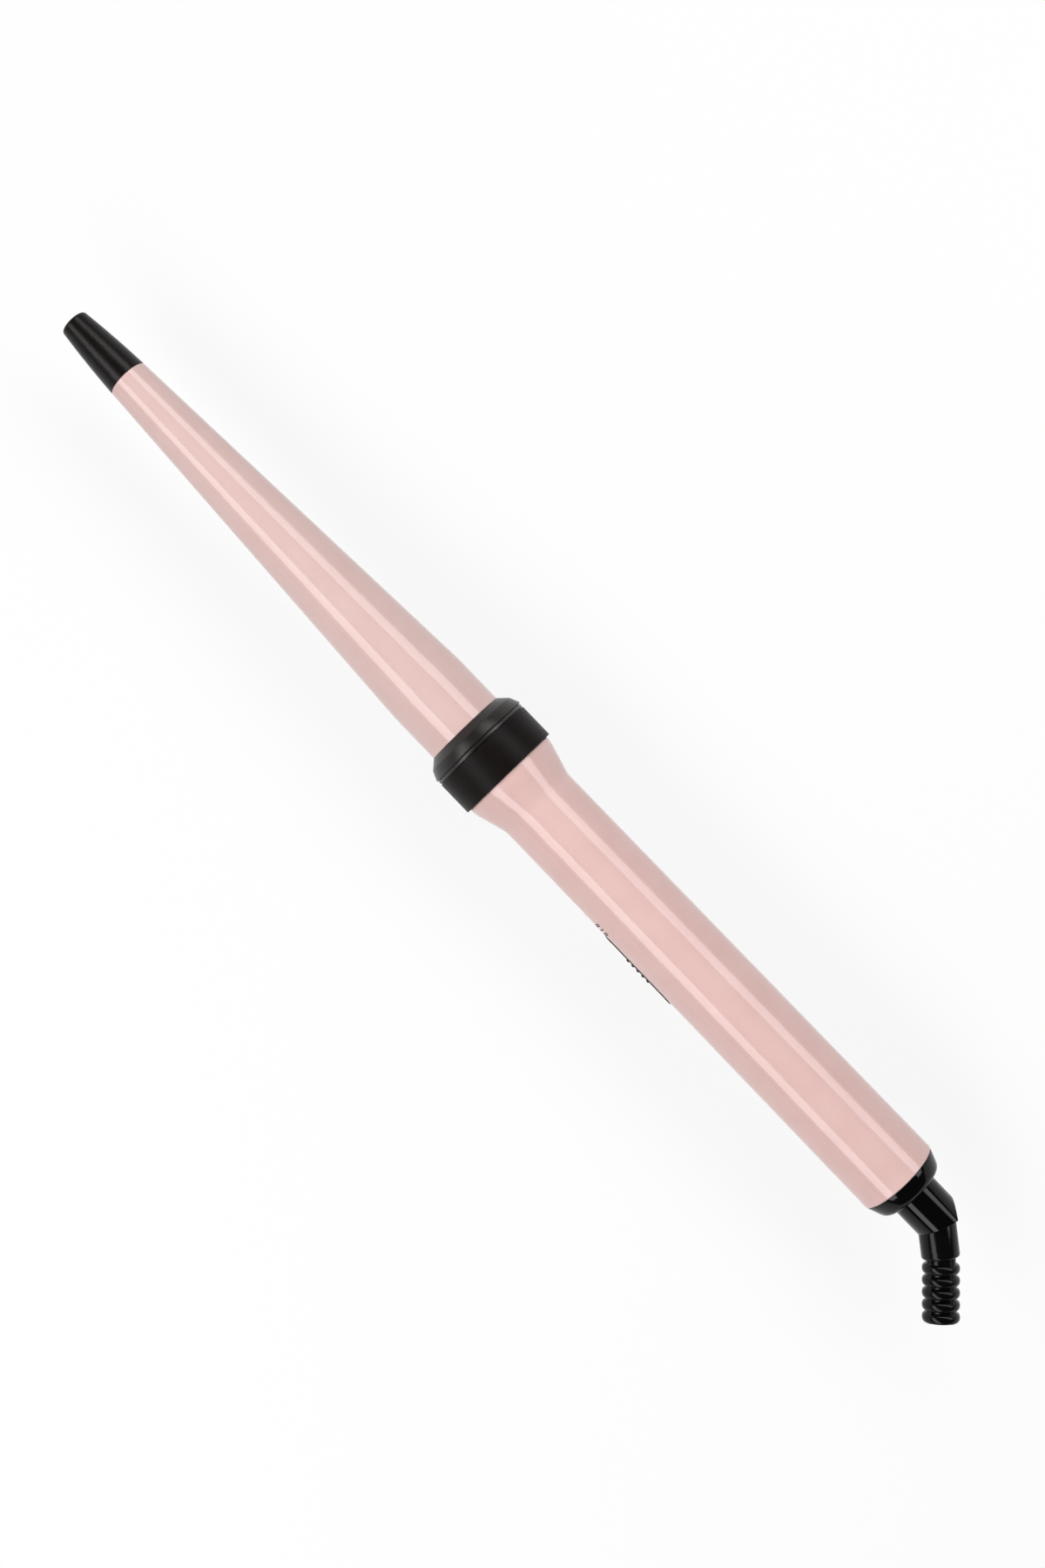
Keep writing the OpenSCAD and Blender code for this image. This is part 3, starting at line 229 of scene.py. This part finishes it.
def spun_piece(name, outline, round_mm=0, sharp=35, steps=144):
    """A turned piece: its outline, in mm along and out from the axis, spun round and its edges eased."""
    bpy.ops.object.select_all(action="DESELECT")
    bpy.ops.mesh.primitive_plane_add(size=MM)
    piece = bpy.context.object
    piece.name = name
    bpy.ops.object.mode_set(mode="EDIT")
    bpy.ops.mesh.merge(type="CENTER")
    last = (0, 0)
    for number, point in enumerate(outline):
        step = ((point[0] - last[0]) * MM, 0, (point[1] - last[1]) * MM)
        if number == 0:
            bpy.ops.transform.translate(value=step)
        else:
            bpy.ops.mesh.extrude_vertices_move(TRANSFORM_OT_translate={"value": step})
        last = point
    bpy.ops.mesh.select_all(action="SELECT")
    bpy.ops.mesh.spin(steps=steps, angle=2 * math.pi, center=(0, 0, 0), axis=(1, 0, 0))
    bpy.ops.mesh.select_all(action="SELECT")
    bpy.ops.mesh.remove_doubles(threshold=SAME_POINT)
    bpy.ops.mesh.normals_make_consistent(inside=False)
    bpy.ops.object.mode_set(mode="OBJECT")
    if round_mm:
        ease_edges(piece, round_mm, sharp)
    bpy.ops.object.shade_smooth_by_angle(angle=math.radians(sharp))
    return piece


def finish_piece(piece, finish, body, slot, *replaced):
    """Clears faces without area, and gives a piece its finish, its body and the nodes that it replaces."""
    open_mesh(piece)
    bpy.ops.mesh.remove_doubles(threshold=SAME_POINT)
    bpy.ops.mesh.dissolve_degenerate(threshold=SAME_POINT)
    bpy.ops.object.mode_set(mode="OBJECT")
    piece.data.materials.clear()
    piece.data.materials.append(finish)
    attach(piece, body)
    if replaced:
        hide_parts(*replaced)


nose_from = 0.1
nose_to = 5.6
nose_r = 16.45
nose_lip = 0.1
nose_edge_w = 0.25
nose_edge_h = 0.2
bevel_to = 2.5
bevel_r = 15.25
barrel_hole_r = 12.55
skirt_to = 9.5
skirt_r = 14.9
socket_hole_r = 14.05
nose_outline = [
    (nose_from, barrel_hole_r), (nose_from, barrel_hole_r + nose_lip), (bevel_to, bevel_r),
    (nose_to - nose_edge_w, nose_r), (nose_to, nose_r - nose_edge_h),
    (nose_to, skirt_r), (skirt_to, skirt_r), (skirt_to, socket_hole_r),
    (nose_to, socket_hole_r), (nose_to, barrel_hole_r), (nose_from, barrel_hole_r),
]
nose_ring = spun_piece("nose_ring_moulding", nose_outline, round_mm=0.12, sharp=15)

# Heat-proof polyester moulding: a brown black, painted a little lighter than the tip and the band to stand
# for light falling on its bevels from the tip's side. It is smoother than the band, so its bevels catch
# broad soft lights.
satin_polyester_with_painted_light = moulded("satin_black_polyester_with_painted_light", "#1e1a18", "#181513", roughness=0.34, grain_mm=0.5,
                          relief_mm=0.012, cloud_mm=6, Specular_IOR_Level=0.36)
finish_piece(nose_ring, satin_polyester_with_painted_light, "wand", "satin_nylon", "nose_ring")

# Trim ring: a slightly greyer nylon, with a crowned edge that catches a thin line of light.
grey_nylon = moulded("grey_nylon", "#1d1a19", "#171514", roughness=0.35, grain_mm=0.5, relief_mm=0.012,
                     cloud_mm=5)
band_from = 7
trim_middle = (nose_to + band_from) / 2
trim_half = 0.5
trim_from = trim_middle - trim_half
trim_to = trim_middle + trim_half
trim_r = 16.15
crown_h = 0.15
ring_hole_r = skirt_r + 0.06
crown = [(trim_middle + trim_half * math.sin(a), trim_r - crown_h + crown_h * math.cos(a))
         for a in [math.radians(step) for step in range(-90, 91, 30)]]
trim_outline = [(trim_from, ring_hole_r)] + crown + [(trim_to, ring_hole_r), (trim_from, ring_hole_r)]
trim_ring = spun_piece("trim_ring_moulding", trim_outline)
finish_piece(trim_ring, grey_nylon, "wand", "trim_grey", "trim_ring")

# Band: matt black moulding, with a weak broad sheen.
matt_black = moulded("matt_black_abs", "#15110f", "#100c0b", roughness=0.42, grain_mm=0.5,
                     relief_mm=0.012, cloud_mm=6, Specular_IOR_Level=0.1)
band_to = 17.95
band_r = 16.25
band_step = skirt_to + 0.05
band_outline = [
    (band_from, ring_hole_r), (band_from, band_r), (band_to, band_r), (band_to, socket_hole_r),
    (band_step, socket_hole_r), (band_step, ring_hole_r), (band_from, ring_hole_r),
]
band = spun_piece("band_moulding", band_outline, round_mm=0.2)
finish_piece(band, matt_black, "wand", "matt_black", "collar_band")

# Socket resin: mineral-filled, dark and dull.
dark_resin = moulded("filled_black_resin", "#2d2a28", "#242120", roughness=0.6, grain_mm=0.5,
                     relief_mm=0.02, cloud_mm=4)
dress(dark_resin, "barrel_socket")

# Screws: zinc plate, bright and slightly blue.
zinc_steel = metal("zinc_plated_steel", "#8c9197", "#6f7479", roughness=0.3, streak_mm=0.25)
dress(zinc_steel, "barrel_screws", "socket_screws", "board_screws", "plug_screws")


# Handle
# One long ABS moulding, thick at the collar and waisted behind it, painted in the barrel's pink. It
# reaches from the collar's band to the end cap, and has a shallow seat for the switch plate.

# Painted ABS: the barrel's colour, with a slightly less level gloss.
pink_paint = moulded("pink_painted_abs", "#ebc6c1", "#e8c2bd", roughness=0.08, grain_mm=8, relief_mm=0.03,
                     IOR=1.5, Specular_IOR_Level=0.42)
dress(pink_paint, "handle_shell")


# Chassis and board
# A half-round tray of unpainted ABS lies in the handle, with the control board screwed to its two posts.
# The board carries the capacitor, the triac, the chip, the pilot light and the slide switch.

# Unpainted ABS: a creamy white with a soft even sheen.
natural_abs = moulded("natural_abs", "#d9d6cc", "#cdc9bd", roughness=0.5, grain_mm=0.6, relief_mm=0.02,
                      cloud_mm=6)
dress(natural_abs, "chassis", "switch_lever", "indicator_led")

# Glass laminate under green solder resist: the weave shows faintly in the gloss.
dress(moulded("green_solder_resist", "#33734a", "#2a613a", roughness=0.3, grain_mm=0.7, relief_mm=0.02,
              cloud_mm=3), "control_board")

# Dipped epoxy: a mustard coat, smooth and a little wavy.
dress(moulded("dipped_epoxy", "#c08f38", "#ab7b2a", roughness=0.3, grain_mm=1.2, relief_mm=0.03,
              cloud_mm=3), "film_capacitor")

# Moulded epoxy: charcoal, dry and even.
dress(moulded("moulded_epoxy", "#2e2e30", "#252527", roughness=0.55, grain_mm=0.3, relief_mm=0.01,
              cloud_mm=3), "triac", "control_chip", "switch_case")


# Slide switch
# A curved black plate sits in a shallow seat in the handle. The ridged slider runs in its window, and a
# shutter under the plate keeps the window closed.

def eased_copy(name, node, round_mm):
    """A copy of a CAD node with its edges eased, as they leave the mould."""
    piece = bpy.data.objects.new(name, nodes[node].data.copy())
    bpy.context.collection.objects.link(piece)
    select_only(piece)
    bpy.ops.mesh.customdata_custom_splitnormals_clear()
    open_mesh(piece)
    bpy.ops.mesh.remove_doubles(threshold=SAME_POINT)
    bpy.ops.mesh.dissolve_limited(angle_limit=math.radians(0.5))
    bpy.ops.object.mode_set(mode="OBJECT")
    ease_edges(piece, round_mm, sharp=40)
    bpy.ops.object.shade_smooth_by_angle(angle=math.radians(30))
    return piece


# Polished ABS: deep black, with lights mirrored sharply in it.
gloss_black = moulded("gloss_black_abs", "#070606", "#040404", roughness=0.09, grain_mm=6, relief_mm=0.01,
                      Specular_IOR_Level=0.22)
plate = eased_copy("switch_plate_moulding", "switch_plate", round_mm=0.12)
finish_piece(plate, gloss_black, "wand", "gloss_black", "switch_plate")
slider = eased_copy("thumb_slider_moulding", "switch_slider", round_mm=0.12)
finish_piece(slider, matt_black, "switch", "matt_black", "switch_slider")

# Level marks: short bars printed on the handle in front of the plate, one group for each of the slider's
# places. The ink is flat black, without a shine.
print_ink = moulded("black_print_ink", "#161313", "#100e0e", roughness=0.4, grain_mm=0.4, relief_mm=0.003,
                    cloud_mm=2, Specular_IOR_Level=0.03)
mark_places = [66.6, 67.2, 68.7, 70.1, 70.7]
mark_top = math.radians(69)
mark_arc = math.radians(38)
mark_w = 0.36
ink_t = 0.1
ink_sunk = 0.03
neck_x = 29.7
neck_r = 12.2
handle_flare = 0.5 / 149.2
for number, mark_x in enumerate(mark_places):
    mark_r = neck_r + handle_flare * (mark_x - neck_x)
    bpy.ops.object.select_all(action="DESELECT")
    bpy.ops.mesh.primitive_plane_add(size=1)
    bar = bpy.context.object
    bar.name = "level_mark_%d" % (number + 1)
    bar.scale = (mark_w * MM, ink_t * MM, 1)
    bar.rotation_euler = (math.radians(90), 0, 0)
    bar.location = (mark_x * MM, 0, (mark_r - ink_sunk) * MM)
    bpy.ops.object.transform_apply(location=True, rotation=True, scale=True)
    open_mesh(bar)
    bpy.ops.mesh.spin(steps=16, angle=mark_arc, center=(0, 0, 0), axis=(1, 0, 0))
    bpy.ops.mesh.select_all(action="SELECT")
    bpy.ops.mesh.normals_make_consistent(inside=False)
    bpy.ops.object.mode_set(mode="OBJECT")
    bar.rotation_euler = (mark_top + mark_arc, 0, 0)
    bpy.ops.object.transform_apply(location=True, rotation=True, scale=True)
    bpy.ops.object.shade_smooth_by_angle(angle=math.radians(30))
    finish_piece(bar, print_ink, "wand", "matt_black")

# Pilot lens: clear red acrylic, which lets half of the light through.
dress(moulded("red_acrylic", "#c8483c", "#b23a30", roughness=0.08, grain_mm=2, relief_mm=0.005, cloud_mm=3,
              Transmission_Weight=0.5, IOR=1.49), "indicator_lens")


# Rear plug and contacts
# A resin plug screwed to the chassis closes the handle. Two brass leaves in it rub on the stem's rings,
# and two sleeved leads take the current from them to the board.

dress(dark_resin, "rear_plug")
dress(brass, "contact_front", "contact_rear", "slip_ring_front", "slip_ring_rear")

# Silicone sleeving in mains colours: brown for live and blue for neutral, both soft and slightly waxy.
dress(moulded("brown_silicone_sleeve", "#80502f", "#6c4024", roughness=0.5, grain_mm=0.6, relief_mm=0.02,
              cloud_mm=3), "mains_lead_live")
dress(moulded("blue_silicone_sleeve", "#304f8f", "#27427a", roughness=0.5, grain_mm=0.6, relief_mm=0.02,
              cloud_mm=3), "mains_lead_neutral")


# End cap
# A polished black moulding screwed to the rear plug. It closes the handle with a short straight land, a
# tapered side and a rounded end, and the stem turns in its hole.

cap_from = 178.95
cap_to = 184.5
cap_r = 12.45
land = 0.3
taper_to = 182.3
taper_r = 11.35
corner_r = 10.65
end_r = taper_r - 2.2
plug_hole_r = 10.2
plug_to = 180.55
recess_r = 9.1
recess_to = 183.3
stem_hole_r = 7.36

rounding = [(taper_to * (1 - t) ** 2 + 2 * cap_to * t * (1 - t) + cap_to * t ** 2,
             taper_r * (1 - t) ** 2 + 2 * corner_r * t * (1 - t) + end_r * t ** 2)
            for t in [step / 8 for step in range(9)]]
cap_outline = [(cap_from, plug_hole_r), (cap_from, cap_r), (cap_from + land, cap_r)] + rounding
cap_outline += [(cap_to, stem_hole_r), (recess_to, stem_hole_r), (recess_to, recess_r), (plug_to, recess_r),
                (plug_to, plug_hole_r), (cap_from, plug_hole_r)]
end_cap = spun_piece("end_cap_moulding", cap_outline, round_mm=0.12)
finish_piece(end_cap, gloss_black, "wand", "gloss_black", "end_cap")


# Stem
# A stiff polished moulding that turns in the cap. A collar inside keeps it there, and its outer end is an
# elbow: cut to half of the boot's bend, with a flat on the outside of the bend.

stem_r = 7.3
stem_turn = math.radians(37)
half_turn = stem_turn / 2
stem_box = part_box("swivel_stem")
elbow_x = 197.0
blank_to = elbow_x + 12
boot_start = (195.0, -0.3)
elbow_side = 5.2
out_of_bend = (math.sin(stem_turn), math.cos(stem_turn), 0)
elbow_flat = (boot_start[0] + elbow_side * out_of_bend[0], boot_start[1] + elbow_side * out_of_bend[1], 0)
collar_r = 8.8
collar_from = 180.8
collar_to = 183.0
stem_from = collar_to - 0.2
journal_from = stem_box[0].x / MM
journal_r = 4.0


def cut_flat(piece, place, normal):
    """Cuts a piece off at a plane, in mm, and closes the cut; what the normal points at goes."""
    open_mesh(piece)
    bpy.ops.mesh.bisect(plane_co=[c * MM for c in place], plane_no=normal, use_fill=True, clear_outer=True)
    bpy.ops.object.mode_set(mode="OBJECT")


def weld(piece, other):
    """Joins another closed piece to this one as one solid."""
    union = piece.modifiers.new("weld", "BOOLEAN")
    union.operation = "UNION"
    union.solver = "EXACT"
    union.object = other
    select_only(piece)
    bpy.ops.object.modifier_apply(modifier=union.name)
    bpy.data.objects.remove(other)


stem = spun_piece("stem_moulding", [(stem_from, 0), (stem_from, stem_r), (blank_to, stem_r), (blank_to, 0)])
cut_flat(stem, elbow_flat, out_of_bend)
ease_edges(stem, round_mm=1.6, sharp=15)
cut_flat(stem, (elbow_x, 0, 0), (math.cos(half_turn), -math.sin(half_turn), 0))
ease_edges(stem, round_mm=0.2, sharp=24)
journal = spun_piece("stem_journal", [
    (journal_from, 0), (journal_from, journal_r), (collar_from, journal_r), (collar_from, collar_r),
    (collar_to, collar_r), (collar_to, 0),
], round_mm=0.2)
weld(stem, journal)
bpy.ops.object.shade_smooth_by_angle(angle=math.radians(35))
finish_piece(stem, gloss_black, "cord_swivel", "gloss_black", "swivel_stem")


# Boot
# One soft vinyl moulding pushed over the stem's spigot: a smooth root, then five round ribs joined by four
# spines, so that the lead bends a little at each rib. It is bored for the lead.

# Soft vinyl: a deep black with a wet shine, a little uneven.
boot_vinyl = moulded("gloss_black_vinyl", "#0a0808", "#070606", roughness=0.17, grain_mm=1.5,
                     relief_mm=0.015, Specular_IOR_Level=0.19)
root_from = -8
root_len = 11.4
root_r = 5.55
root_round = 0.9
root_gap = 0.05
rib_turn = math.radians(44)
rib_first = 2.95
rib_pitch = 3.5
rib_count = 5
rib_r = 5.45
rib_half = 1.45
rib_fullness = 0.7
sleeve_from = -1.2
sleeve_r = 4.2
lead_hole_r = 3.1
lead_hole_from = 2
boot_len = rib_first + (rib_count - 1) * rib_pitch + rib_half
spine_count = 4
spine_from = -0.9
spine_r = 4.95
spine_foot_r = lead_hole_r + 0.3
spine_w = 1.7
spine_turn = 35
soft_round = 0.35


def place_piece(piece, place, turn):
    """Puts a piece, made along the X axis, at its place in mm and turns it, in its mesh."""
    select_only(piece)
    piece.location = [c * MM for c in place]
    piece.rotation_euler = turn
    bpy.ops.object.transform_apply(location=True, rotation=True, scale=True)


root_edge = [(root_len - root_round + root_round * math.sin(a),
              root_r - root_round + root_round * math.cos(a))
             for a in [math.radians(step) for step in range(0, 91, 15)]]
root_outline = [(root_from, 0), (root_from, root_r)] + root_edge + [(root_len, 0)]
root = spun_piece("boot_root", root_outline, steps=96)
place_piece(root, (boot_start[0], boot_start[1], 0), (0, 0, -stem_turn))
cut_flat(root, (elbow_x + root_gap, 0, 0), (-math.cos(half_turn), math.sin(half_turn), 0))
ease_edges(root, soft_round, sharp=40)

rib_outline = [(sleeve_from, 0), (sleeve_from, sleeve_r)]
for rib in range(rib_count):
    middle = rib_first + rib * rib_pitch
    rib_outline += [(middle + rib_half * math.sin(a),
                     sleeve_r + (rib_r - sleeve_r) * math.cos(a) ** rib_fullness)
                    for a in [math.radians(step) for step in range(-89, 90, 22)]]
rib_outline += [(boot_len, sleeve_r), (boot_len, lead_hole_r), (lead_hole_from, lead_hole_r),
                (lead_hole_from, 0)]
boot = spun_piece("boot_moulding", rib_outline, steps=96)

bpy.ops.object.select_all(action="DESELECT")
bpy.ops.mesh.primitive_cube_add(size=1)
spine = bpy.context.object
spine.scale = ((boot_len - spine_from) * MM, spine_w * MM, (spine_r - spine_foot_r) * MM)
place_piece(spine, ((boot_len + spine_from) / 2, 0, (spine_r + spine_foot_r) / 2), (0, 0, 0))
ease_edges(spine, soft_round)
for number in range(spine_count):
    copy = spine.copy()
    copy.data = spine.data.copy()
    bpy.context.collection.objects.link(copy)
    place_piece(copy, (0, 0, 0), (math.radians(number * 360 / spine_count - spine_turn), 0, 0))
    weld(boot, copy)
bpy.data.objects.remove(spine)

rib_start = (boot_start[0] + root_len * math.cos(stem_turn),
             boot_start[1] - root_len * math.sin(stem_turn), 0)
place_piece(boot, rib_start, (0, 0, -rib_turn))
weld(boot, root)
bpy.ops.object.shade_smooth_by_angle(angle=math.radians(40))
finish_piece(boot, boot_vinyl, "cord_swivel", "boot_vinyl", "strain_relief")


# Studio
# A wide floor of pale paper in a dim room with white walls, and two long soft boxes beside the wand. The
# eye, and polished pieces, see the paper and the walls as white. The floor lies just under the round that
# the boot's end makes as the cord turns.

floor_z = cad_box[0].y - 0.5 * MM
floor_r = 60
bpy.ops.mesh.primitive_circle_add(vertices=96, radius=floor_r, fill_type="NGON", location=(0, 0, floor_z))
floor = bpy.context.object
floor.name = "floor"


def seen_directly(tree):
    """One for rays from the eye, or sent on by a polished or clear piece, and nought for the rest."""
    rays = add_node(tree, "LightPath")
    seen = rays.outputs["Is Camera Ray"]
    for kind in ("Is Glossy Ray", "Is Transmission Ray"):
        either = add_node(tree, "Math")
        either.operation = "MAXIMUM"
        tree.links.new(seen, either.inputs[0])
        tree.links.new(rays.outputs[kind], either.inputs[1])
        seen = either.outputs["Value"]
    return seen


# Pale paper: burnt out to white where it is seen, with a faint shadow, and a weak grey light on the wand.
white = (1, 1, 1, 1)
burnt_out = 0.85
grey_level = 0.3
pale_level = 0.9
paper = bpy.data.materials.new("pale_paper")
tree = empty_tree(paper)
seen = seen_directly(tree)
share = add_node(tree, "MapRange", Value=seen, To_Max=burnt_out)
pale = add_node(tree, "MapRange", Value=seen, To_Min=grey_level, To_Max=pale_level)
bare = add_node(tree, "BsdfDiffuse", Color=pale.outputs["Result"])
glow = add_node(tree, "Emission", Color=white, Strength=1.0)
blend = add_node(tree, "MixShader", Fac=share.outputs["Result"])
tree.links.new(bare.outputs["BSDF"], blend.inputs[1])
tree.links.new(glow.outputs["Emission"], blend.inputs[2])
add_node(tree, "OutputMaterial", Surface=blend.outputs["Shader"])
floor.data.materials.append(paper)

# Room: its walls are white up to a low height, where they are seen, and fade into the dim ceiling.
dim_level = 0.06
wall_level = 0.86
wall_to = 0.17
ceiling_from = 0.27
world = bpy.data.worlds.new("dim_studio")
bpy.context.scene.world = world
tree = empty_tree(world)
way = add_node(tree, "TexCoord")
height = add_node(tree, "SeparateXYZ", Vector=way.outputs["Generated"])
wall = add_node(tree, "MapRange", Value=height.outputs["Z"], From_Min=wall_to, From_Max=ceiling_from,
                To_Min=wall_level, To_Max=dim_level)
level = add_node(tree, "MapRange", Value=seen_directly(tree), To_Min=dim_level,
                 To_Max=wall.outputs["Result"])
room = add_node(tree, "Background", Color=white, Strength=level.outputs["Result"])
add_node(tree, "OutputWorld", Surface=room.outputs["Background"])

box_x = 0.06
box_far = 0.6
box_len = 1.3
tilt = math.radians(46)
toe_in = math.radians(12)


def soft_box(name, side, width, power):
    """A long rectangular lamp on one side of the wand, turned to face it."""
    place = (box_x, side * box_far * math.sin(tilt), box_far * math.cos(tilt))
    bpy.ops.object.light_add(type="AREA", location=place, rotation=(-side * tilt, 0, side * toe_in))
    lamp = bpy.context.object
    lamp.name = name
    lamp.data.shape = "RECTANGLE"
    lamp.data.size = box_len
    lamp.data.size_y = width
    lamp.data.energy = power
    lamp.visible_camera = False


soft_box("soft_box_right", side=1, width=0.25, power=3.9)
soft_box("soft_box_left", side=-1, width=0.24, power=4.3)

# Camera
# It looks straight down on the wand, turned so that the wand lies across the upright picture.
bpy.ops.object.camera_add(location=(0.0229, 0.00075, 0.638), rotation=(0, 0, math.radians(46.03)))
camera = bpy.context.object
camera.data.lens = 51.04
camera.data.sensor_width = 36
bpy.context.scene.camera = camera
bpy.context.scene.view_settings.view_transform = "Standard"
